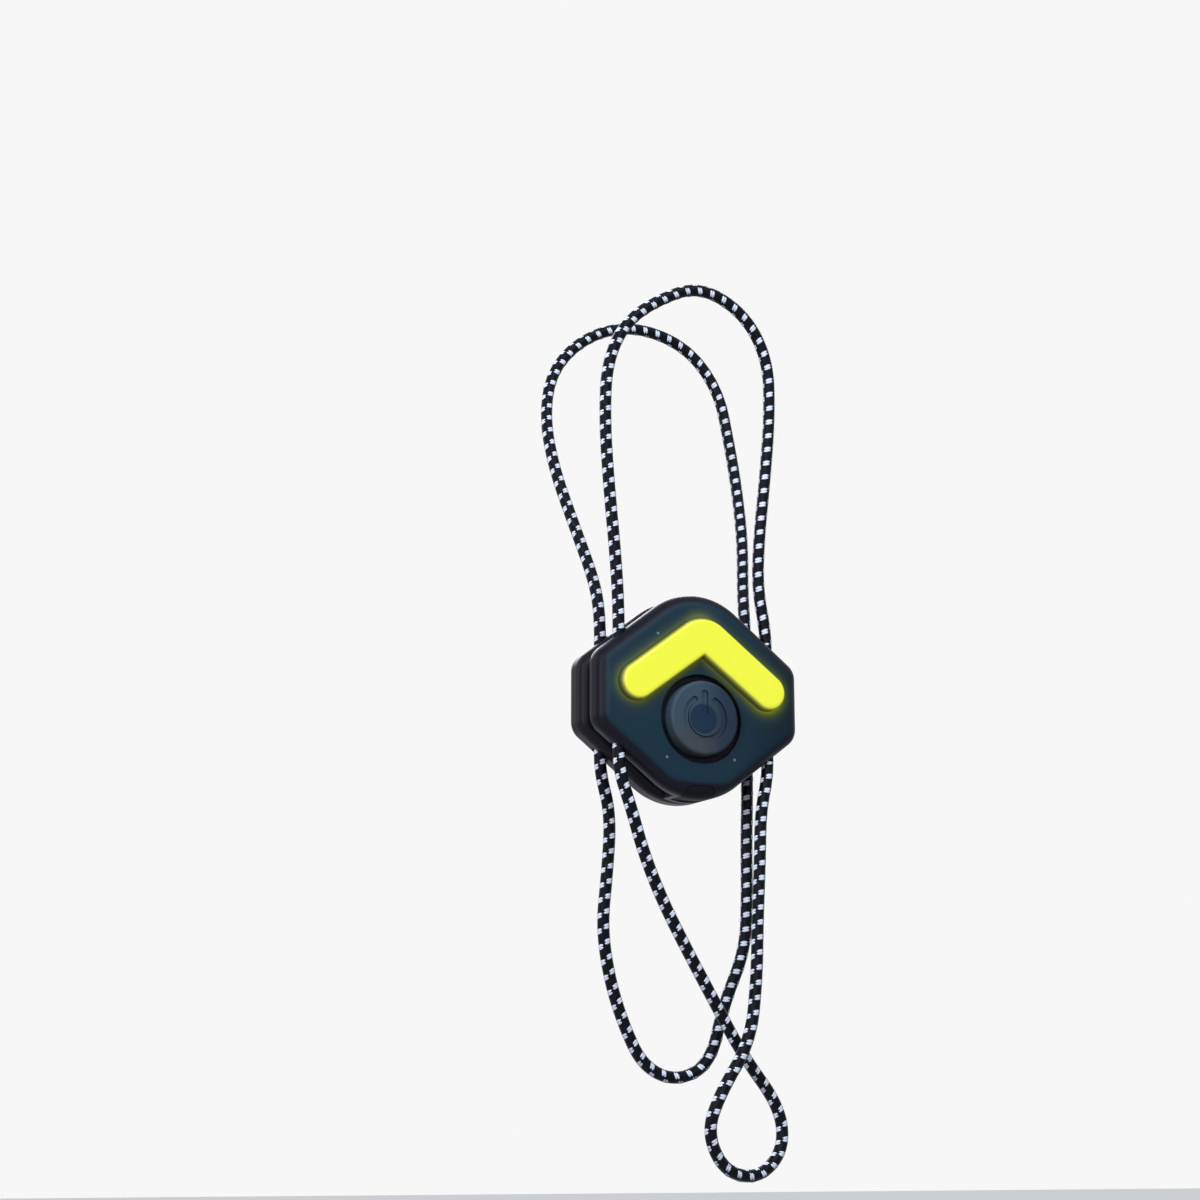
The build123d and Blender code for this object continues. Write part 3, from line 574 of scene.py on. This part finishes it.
def moulded(name, colour, roughness, specular=0.06):
    """Grained plastic, whose roughness is the given one plus or minus half of slow_gloss.

    colour is a colour, which runs from deep_gain times itself to pale_gain times itself plus
    pale_lift, or a function that works one out from the finish and the share of the noises.
    """
    finish = Finish(name, specular_ior_level=specular)
    fine = finish.noise(grain_size, detail=3)
    slow = finish.noise(slow_size, detail=3)
    share = slow * slow_share + fine * (1 - slow_share)
    if isinstance(colour, tuple):
        deep = [part * deep_gain for part in colour]
        pale = [min(1, part * pale_gain + pale_lift) for part in colour]
        mixed = finish.mix(share, deep, pale)
    else:
        mixed = colour(finish, share)
    finish.set(base_color=mixed, roughness=(slow - 0.5) * slow_gloss + roughness)
    finish.bump(fine, grain_depth)
    return finish


def distance(across, up, centre):
    """How far (across, up) lies from a centre: the root of the sum of the squares."""
    return ((across - centre[0]) ** 2 + (up - centre[1]) ** 2) ** 0.5


print("grain size", round(grain_size / MM, 2), "mm")

# %% [markdown]
# ## The front shell's colour
#
# The flat face is slate blue, partly the plastic's own colour and partly a painted bluish sheen,
# and painted shade darkens it towards the right. Painted shade makes the rounded sides and the
# recesses nearly black, the lower tip is nearly black as well, and three small pale specks lie on
# the face. Painted masks could tell these places apart, but the surface does it itself: the face is
# where the normal looks to the front and the depth is the face's own.

# %% Work out the shell's colour
face_y = -pod_forward * MM
middle_z = -pod_drop * MM
face_thickness = 0.6 * MM
face_facing = (-0.80, -0.985)
# slate for the flat face: the plastic's own colour with a painted bluish sheen
slate_deep = (0.0072, 0.023, 0.038)
slate_pale = (0.0100, 0.029, 0.046)
# painted shade: the face grows darker towards the right
slate_shaded = (0.001, 0.005, 0.009)
shade_reach = (6 * MM, 30 * MM)
shade_share = 0.65
# painted shade for the sides and the recesses, and the same near-black for the tip
painted_shade_and_tip_deep = (0.0045, 0.0050, 0.0095)
painted_shade_and_tip_pale = (0.0065, 0.0072, 0.0130)
tip_reach = (-22.9 * MM, -21.3 * MM)
specks = [(-12.0 * MM, 14.7 * MM), (-9.7 * MM, -16.3 * MM), (9.3 * MM, -15.8 * MM)]
speck_reach = (0.45 * MM, 0.15 * MM)
speck_share = 0.3
speck_colour = (0.5, 0.6, 0.7)


def shell_colour(finish, share):
    """Slate blue with a painted bluish sheen on the flat face, and painted shade on its right, on
    the sides and in the recesses. The tip is near-black.
    """
    x, y, z = finish.split(finish.place())
    up = z - middle_z
    slate = finish.mix(share, slate_deep, slate_pale)
    # Painted shade darkens the face towards the right.
    slate = finish.mix(finish.between(x, *shade_reach) * shade_share, slate, slate_shaded)
    painted_shade_and_tip = finish.mix(share, painted_shade_and_tip_deep, painted_shade_and_tip_pale)
    # Only the flat face keeps the slate and its painted sheen. The sides and the recesses behind
    # the face get painted shade, and the tip below tip_reach gets the same near-black.
    flat = finish.between(finish.facing(), *face_facing)
    flat = flat * finish.between(y, face_y + face_thickness, face_y)
    colour = finish.mix(flat * finish.between(up, *tip_reach), painted_shade_and_tip, slate)
    for speck in specks:
        near = finish.between(distance(x, up, speck), *speck_reach) * flat * speck_share
        colour = finish.mix(near, colour, speck_colour)
    return colour


print("the face lies at", round(face_y, 4), "and the pod's middle at", round(middle_z, 4))

# %% [markdown]
# ## The button cap's colour
#
# The cap is silicone. Painted light makes it paler below and painted shade makes it darker to the
# right, so it looks paler at its left and below, and a bluish disc shows in the middle of its power
# symbol. The symbol is sunk into the solid, and painted shade darkens its walls. It could be drawn
# again as a mask, but its walls are the only ones near the middle of the cap that turn away from
# the front, so their normals find them.

# %% Work out the cap's colour
button_z = middle_z - 6.1 * MM
cap_deep = (0.031, 0.058, 0.083)
cap_pale = (0.041, 0.070, 0.098)
# painted light: the cap is paler below
painted_light_below = (0.044, 0.057, 0.064)
painted_light_below_reach = (1 * MM, -7 * MM)
# painted shade: the cap is darker to the right
painted_shade_right = (0.014, 0.024, 0.042)
painted_shade_right_reach = (-2 * MM, 7 * MM)
disc_colour = (0.006, 0.020, 0.046)
disc_centre = (-0.5 * MM, -0.3 * MM)
disc_radius = 3.8 * MM
disc_blur = 0.1 * MM
# painted shade in the walls of the sunk symbol
painted_wall_shade = (0.002, 0.006, 0.012)
wall_facing = (0.9, 0.5)
symbol_reach = 6.5 * MM
over_share = 0.85


def cap_colour(finish, share):
    """Lay the painted light below, the painted shade on the right, the disc and the painted shade
    in the symbol's walls over the cap's own colour in turn.
    """
    x, _, z = finish.split(finish.place())
    up = z - button_z
    colour = finish.mix(share, cap_deep, cap_pale)
    # Painted light makes the lower part paler.
    colour = finish.mix(finish.between(up, *painted_light_below_reach), colour, painted_light_below)
    # Painted shade darkens the right side.
    colour = finish.mix(finish.between(x, *painted_shade_right_reach) * over_share, colour, painted_shade_right)
    away = distance(x, up, disc_centre)
    disc = finish.between(away, disc_radius + disc_blur, disc_radius - disc_blur)
    colour = finish.mix(disc * over_share, colour, disc_colour)
    # Painted shade darkens the symbol's walls, found by their normals.
    wall = finish.between(abs(finish.facing()), *wall_facing)
    wall = wall * (distance(x, up, (0, 0)) < symbol_reach)
    return finish.mix(wall * over_share, colour, painted_wall_shade)


print("the button's middle lies at", round(button_z, 4))

# %% [markdown]
# ## All the moulded pieces
#
# Apart from the pieces that show, what each is made from is guessed from how such lights are
# built. A finish of its own could be drawn up for each, but they differ in little more than
# colour and roughness, so one call does it. The shells, the button and most dark pieces mirror
# little, and the pale pieces and the battery's leads mirror more.

# %% Finish the moulded pieces
finishes = {
    "front_shell": moulded("slate_plastic", shell_colour, 0.35, specular=0.07),
    "back_shell": moulded("graphite_plastic", (0.0075, 0.0072, 0.0125), 0.34, specular=0.07),
    "button": moulded("button_silicone", cap_colour, 0.5),
    "cover": moulded("cover_rubber", (0.004, 0.005, 0.008), 0.6),
    "gasket": moulded("gasket_silicone", (0.012, 0.012, 0.014), 0.55),
    "sleeve": moulded("shrink_sleeve", (0.015, 0.015, 0.016), 0.4),
    "switch": moulded("switch_plastic", (0.018, 0.018, 0.018), 0.45),
    "plunger": moulded("plunger_plastic", (0.25, 0.20, 0.12), 0.5),
    "chip": moulded("chip_epoxy", (0.020, 0.020, 0.022), 0.5),
    "connector": moulded("ivory_nylon", (0.72, 0.69, 0.58), 0.45, specular=0.5),
    "tray": moulded("white_reflector", (0.80, 0.80, 0.80), 0.4, specular=0.5),
    "diffuser": moulded("milky_diffuser", (0.85, 0.84, 0.76), 0.5, specular=0.5),
    "lead_red": moulded("red_silicone", (0.50, 0.02, 0.02), 0.45, specular=0.5),
    "lead_black": moulded("black_silicone", (0.02, 0.02, 0.02), 0.45, specular=0.5),
    "pad": moulded("foam_tape", (0.80, 0.79, 0.74), 0.85, specular=0.3),
}
print("moulded finishes:", len(finishes))

# %% [markdown]
# ## Light in the lens
#
# The chevron is lit from behind by a row of lamps under a milky sheet, so its front glows almost
# evenly, and its sides lose their light within a millimetre or two. Real lamps behind real resin
# would be slow and grainy to render. So the resin sends out light itself, less so by a factor e
# for each fade length behind its front edge: a short one for the front's own glow, and a long
# one for the walls'.

# %% Finish the lens
lens_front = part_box("chevron_lens")[0].y
lens_edge = 0.18 * MM
lens_fade = 0.28 * MM
wall_fade = 1.6 * MM
cloud_size = 5 * MM
glow_deep = (0.55, 0.58, 0.020)
glow_pale = (0.58, 0.61, 0.032)
wall_glow_near = (0.075, 0.080, 0.008)
wall_glow_far = (0.004, 0.005, 0.001)
resin_lit = (0.30, 0.31, 0.03)
resin_dark = (0.035, 0.042, 0.022)


def lens_finish():
    """Yellow resin that sends out light, less so down its sides."""
    finish = Finish("lit_lens", roughness=0.22, specular_ior_level=0.2, emission_strength=1.0)
    _, y, _ = finish.split(finish.place())
    depth = y - (lens_front + lens_edge)
    lit = (depth / lens_fade).fade()
    glow = finish.mix(finish.noise(cloud_size, detail=1), glow_deep, glow_pale)
    wall = finish.mix((depth / wall_fade).fade(), wall_glow_far, wall_glow_near)
    finish.set(emission_color=finish.mix(lit, wall, glow))
    # The base colour is painted too: paler at the glowing front as painted light, and dark olive
    # down the walls as painted shade.
    finish.set(base_color=finish.mix(lit, resin_dark, resin_lit))
    return finish


finishes["lens"] = lens_finish()
print("the lens's front lies at", round(lens_front, 5))

# %% [markdown]
# ## Light round the lens
#
# Some of the chevron's light falls on the face round it as a thin yellow-green halo, which is
# brighter on the right. A glow could be added to the finished picture, but then it would lie over
# everything, so the shell's plastic sends it out as a painted glow. It fades by a factor e for each
# millimetre or so from the chevron's outline, and it stops behind the face. The way to the outline
# is the one to the middle line of an arm, less half the arm's width.

# %% Add the halo to the front shell
arm_top = (0.0, 15.6 * MM)
arm_end = (18.4 * MM, 1.9 * MM)
arm_half_width = 4.8 * MM
halo_fade = 0.9 * MM
halo_colour = (0.18, 0.22, 0.0)
halo_left = 0.5
halo_right_reach = (8 * MM, 22 * MM)
halo_depth_reach = (1.2 * MM, 0.3 * MM)
unlit = (0, 0, 0)


def add_halo(finish):
    """Let a finish send out a painted glow for the chevron's light on the face round it.

    The arms mirror each other, so one is enough. along is 0 at its top and 1 at its end: the
    way from the top, projected on the arm, over the arm's length.
    """
    x, y, z = finish.split(finish.place())
    run, fall = arm_end[0] - arm_top[0], arm_end[1] - arm_top[1]
    across, up = abs(x), z - (middle_z + arm_top[1])
    along = ((across * run + up * fall) / (run ** 2 + fall ** 2)).most(0).least(1)
    away = distance(across, up, (along * run, along * fall)) - arm_half_width
    # painted glow: strongest at the chevron's outline, brighter on the right, none behind the face
    glow = (away / halo_fade).fade()
    glow = glow * (finish.between(x, *halo_right_reach) * (1 - halo_left) + halo_left)
    glow = glow * finish.between(y - face_y, *halo_depth_reach)
    finish.set(emission_color=finish.mix(glow, unlit, halo_colour), emission_strength=1.0)


add_halo(finishes["front_shell"])
print("the halo fades over", round(halo_fade / MM, 2), "mm")

# %% [markdown]
# ## Metal parts
#
# The charging socket's shell and the board's screws are plated steel, and the case's screws are
# blackened. Rolling and turning leave fine scratches that run one way. Noise that is squeezed
# along one axis looks like that, and costs less than scratches made one by one.

# %% Finish the metal parts
scratch_size = 0.4 * MM
scratch_squeeze = (1, 1, 12)
scratch_gloss = 0.16
scratch_depth = 0.004 * MM


def brushed(name, colour, roughness):
    """Metal whose roughness is the given one plus or minus half of scratch_gloss."""
    finish = Finish(name, base_color=colour, metallic=1.0)
    scratches = finish.noise(scratch_size, detail=4, stretch=scratch_squeeze)
    finish.set(roughness=(scratches - 0.5) * scratch_gloss + roughness)
    finish.bump(scratches, scratch_depth)
    return finish


finishes["socket"] = brushed("plated_steel", (0.62, 0.62, 0.60), 0.30)
finishes["screws"] = brushed("black_oxide_steel", (0.10, 0.10, 0.11), 0.38)
finishes["board_screws"] = brushed("zinc_plated_steel", (0.62, 0.62, 0.60), 0.30)
print("finishes so far:", len(finishes))

# %% [markdown]
# ## Board, battery and lamps
#
# These are seen when the light is taken apart. The board's green mask shows rows of round pads
# under it. They could be laid out one by one, but the product of two waves that cross is high in
# just such rows. The battery's foil has soft creases, which are slow noise, and the lamps are
# clear resin over a yellow chip.

# %% Finish the board, the battery and the lamps
pad_waves = (2200, 1700)
pad_edge = (0.45, 0.6)
pad_depth = 0.03 * MM
mask_green = (0.012, 0.11, 0.045)
pad_green = (0.03, 0.20, 0.08)
foil_roughness = 0.28
crease_size = 6 * MM
crease_gloss = 0.15
crease_depth = 0.12 * MM
chip_size = 0.8 * MM
chip_deep = (1.0, 0.85, 0.15)
chip_pale = (1.0, 1.0, 0.55)


def board_finish():
    """Green mask over round pads, where cos(a x) cos(b z) is high.

    a and b are pad_waves, in radians per metre.
    """
    finish = Finish("solder_mask", specular_ior_level=0.5, roughness=0.3)
    x, _, z = finish.split(finish.place())
    across, up = [
        value.math("COSINE", value * waves) for value, waves in zip((x, z), pad_waves)
    ]
    pads = finish.between(across * up, *pad_edge)
    finish.set(base_color=finish.mix(pads, mask_green, pad_green))
    finish.bump(pads, pad_depth)
    return finish


def foil_finish():
    """Silver laminate with soft creases."""
    finish = Finish("laminate_foil", base_color=(0.62, 0.63, 0.65), metallic=1.0)
    creases = finish.noise(crease_size, detail=4)
    finish.set(roughness=creases * crease_gloss + foil_roughness)
    finish.bump(creases, crease_depth)
    return finish


def led_finish():
    """Clear resin over a yellow chip, lit."""
    colour = (0.90, 0.85, 0.35)
    finish = Finish("lamp_resin", base_color=colour, roughness=0.15, emission_strength=1.0)
    glow = finish.noise(chip_size, detail=1)
    finish.set(emission_color=finish.mix(glow, chip_deep, chip_pale))
    return finish


finishes["board"] = board_finish()
finishes["battery"] = foil_finish()
finishes["led"] = led_finish()
print("finishes so far:", len(finishes))

# %% [markdown]
# ## Where the cord's colour is read
#
# A free stretch carries the pattern in its own map, which follows its bends. The short stretches
# inside the pod come from the solid model and have no map, but they are straight. So theirs is
# worked out: the turn is the angle around the tunnel's axis, and the way along is the height
# over the tunnel's mouth.

# %% Read the pattern of a cord
def skin_pattern(finish):
    """Read the pattern that was laid on a free stretch."""
    turn, along, _ = finish.split(finish.node("ShaderNodeUVMap", {"uv_map": "pattern"}))
    return turn, along


def tunnel_pattern(finish):
    """Work the pattern out in a tunnel, mirrored at the pod's middle height."""
    x, y, z = finish.split(finish.place())
    height = z - middle_z
    upper = (height > 0) * 2 - 1
    across = (abs(x) - tunnel_x * MM) * ((x > 0) * -2 + 1) * upper
    behind = y > face_y + (front_depth + back_depth) / 2 * MM
    axis_y = behind * ((back_depth - front_depth) * MM) + (face_y + front_depth * MM)
    turn = (axis_y - y).angle(across) / (2 * math.pi) - upper * near_twist
    return turn + 1, (abs(height) - mouth * MM) / fleck_pitch


print("two ways to read the pattern")

# %% [markdown]
# ## Threads of the cord
#
# The colour follows the formula of the relief, so the pale threads lie on the raised stitches.
# Within a stitch the single strands show as fine lines across the cord, and on the black threads
# the braid shows as slanted ridges. A fuzz of fine noise keeps both from looking drawn.

# %% Finish the cords
black_deep = (0.0015, 0.0018, 0.003)
black_pale = (0.007, 0.008, 0.013)
white_deep = (0.50, 0.56, 0.68)
white_pale = (0.80, 0.86, 0.95)
stitch_edge = (1.15, 0.8)
strand_pitch = 0.16 * MM
ridge_slant = 9.0
fuzz_size = 0.25 * MM
thread_depth = 0.03 * MM
ridge_height_share = 0.6
strand_height_share = 0.4
black_roughness = 0.26
fuzz_roughness = 0.1
stitch_roughness = 0.35


def cord_finish(name, read_pattern):
    """Black threads with pale stitches where the pattern's ovals lie."""
    finish = Finish(name, specular_ior_level=0.05)
    turn, along = read_pattern(finish)
    stitch = finish.between(stitch_oval(turn, along, round), *stitch_edge)
    strands = (along * (2 * math.pi * fleck_pitch / strand_pitch)).wave()
    ridges = (turn * (2 * math.pi * braid_turns * 2) + along * ridge_slant).wave()
    fuzz = finish.noise(fuzz_size, detail=2)
    black = finish.mix(ridges * 0.5 + fuzz * 0.5, black_deep, black_pale)
    white = finish.mix(strands * 0.5 + fuzz * 0.3, white_deep, white_pale)
    finish.set(base_color=finish.mix(stitch, black, white))
    finish.set(roughness=fuzz * fuzz_roughness + stitch * stitch_roughness + black_roughness)
    height = ridges * ridge_height_share + strands * stitch * strand_height_share
    finish.bump(height, thread_depth)
    return finish


finishes["cord"] = cord_finish("braided_cover", skin_pattern)
finishes["tunnel_cord"] = cord_finish("braided_cover_inside", tunnel_pattern)
for piece in cords.values():
    piece.data.materials.append(finishes["cord"].material)
print("cord finish on", len(cords), "stretches")

# %% [markdown]
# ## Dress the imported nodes
#
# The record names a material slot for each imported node, and there is one finish for each slot, so
# a loop does what would otherwise be a line for each node. Only the cords in the tunnels differ:
# they share the free cords' slot, but read their pattern in their own way.

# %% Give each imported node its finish
for part in frame["record"]["subparts"]:
    inside = part["node"].startswith("cord_tunnel")
    finish = finishes["tunnel_cord" if inside else part["material_slot"]]
    materials = nodes[part["node"]].data.materials
    materials.clear()
    materials.append(finish.material)
print("dressed nodes:", len(frame["record"]["subparts"]))

# %% [markdown]
# ## The floor
#
# The light hangs from its cords, so the floor lies under the lowest loop. A pale floor would
# throw much light up at the pod, which its photograph doesn't show. So it is pale only to the
# rays that are seen, those of the camera, of gloss and through clear pieces, and dim to the rest.

# %% Lay the floor
floor_height = -0.32
floor_reach = 6.0
floor_pale = (0.80, 0.80, 0.80)
floor_dim = (0.10, 0.10, 0.10)
floor_glow = (0.42, 0.42, 0.42)
floor_roughness = 0.75
floor_gloss = 0.1
floor_lumps = 0.2


def floor_piece():
    """A flat square: a grid of two points by two."""
    across = np.array([-floor_reach, floor_reach])
    x, y = np.meshgrid(across, across)
    return grid_piece("floor", np.stack([x, y, np.full_like(x, floor_height)], axis=-1))


def floor_finish():
    """Matt, and pale to the rays that are seen."""
    finish = Finish("pale_floor", specular_ior_level=0.1, emission_strength=1.0)
    seen = finish.seen()
    finish.set(base_color=finish.mix(seen, floor_dim, floor_pale))
    finish.set(emission_color=finish.mix(seen, unlit, floor_glow))
    finish.set(roughness=finish.noise(floor_lumps, detail=2) * floor_gloss + floor_roughness)
    return finish


floor = floor_piece()
floor.data.materials.append(floor_finish().material)
floor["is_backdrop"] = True
print("floor at", floor_height)

# %% [markdown]
# ## The world
#
# A white world gives the pale background, but if it were white to every ray, it would also be the
# strongest light. So it is white only to the rays that are seen. Every other ray finds a dim,
# bluish sky that grows darker downwards, and the lamps give the pod its light and shade.

# %% Make the world
backdrop_colour = (0.93, 0.93, 0.93)
sky_colour = (0.66, 0.78, 0.92)
sky_above = 0.26
sky_below = 0.05
sky_rise = (-0.1, 0.6)


def make_world():
    """Mix the backdrop and the sky by the kind of ray, and shade the sky by the ray's rise."""
    world = bpy.data.worlds.new("studio")
    world.use_nodes = True
    bpy.context.scene.world = world
    studio = Graph(world.node_tree)
    _, _, rise = studio.split(studio.node("ShaderNodeTexCoord", output="Generated"))
    strength = studio.between(rise, *sky_rise) * (sky_above - sky_below) + sky_below
    sky = studio.node("ShaderNodeBackground", sockets={"Color": sky_colour, "Strength": strength})
    white = studio.node("ShaderNodeBackground", sockets={"Color": backdrop_colour})
    both = studio.node("ShaderNodeMixShader", sockets={0: studio.seen(), 1: sky, 2: white})
    studio.feed(world.node_tree.nodes["World Output"].inputs["Surface"], both)


make_world()
print("the sky's strength is", sky_below, "below and", sky_above, "above")

# %% [markdown]
# ## The lamps
#
# The photograph's light is soft and comes from the front, the left and above. Small bright lamps
# would draw hard spots on the satin plastic, so these are rectangles: a wide one in front and to
# the left, a bluish one high in front, a strip that draws the streaks on the ribs, and two behind
# that light the back and the rims. Each has its offset from the pod's middle and its size in
# metres, its power in watts and its colour.

# %% Hang the lamps
pod_middle = np.array([0.0, face_y + pod_depth / 2 * MM, middle_z])
lamps = {
    "front_window": ((-0.20, -0.62, 0.32), (0.70, 0.60), 4.3, (0.97, 0.97, 1.0)),
    "high_front": ((0.05, -0.45, 0.60), (0.60, 0.40), 2.4, (0.80, 0.92, 1.0)),
    "left_strip": ((-0.60, -0.34, 0.16), (0.08, 0.60), 3.0, (0.92, 0.88, 1.0)),
    "left_rim": ((-0.62, 0.30, 0.22), (0.10, 0.60), 1.5, (0.95, 0.95, 1.0)),
    "back_rim": ((0.10, 0.70, 0.45), (0.60, 0.40), 4.0, (0.95, 0.98, 1.0)),
}


def hang_lamp(name, offset, size, power, colour):
    """A soft rectangle at an offset from the pod, turned to face it."""
    data = bpy.data.lights.new(name, "AREA")
    data.shape = "RECTANGLE"
    data.size, data.size_y = size
    data.energy = power
    data.color = colour
    lamp = bpy.data.objects.new(name, data)
    lamp.location = pod_middle + offset
    lamp.rotation_euler = Vector(-np.array(offset)).to_track_quat("-Z", "Y").to_euler()
    bpy.context.scene.collection.objects.link(lamp)


for name, settings in lamps.items():
    hang_lamp(name, *settings)
print("lamps:", ", ".join(lamps))

# %% Gather the boxes
boxes = {
    "cad": [list(map(float, corner)) for corner in cad_box],
    "visual": [list(map(float, corner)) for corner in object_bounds()],
}
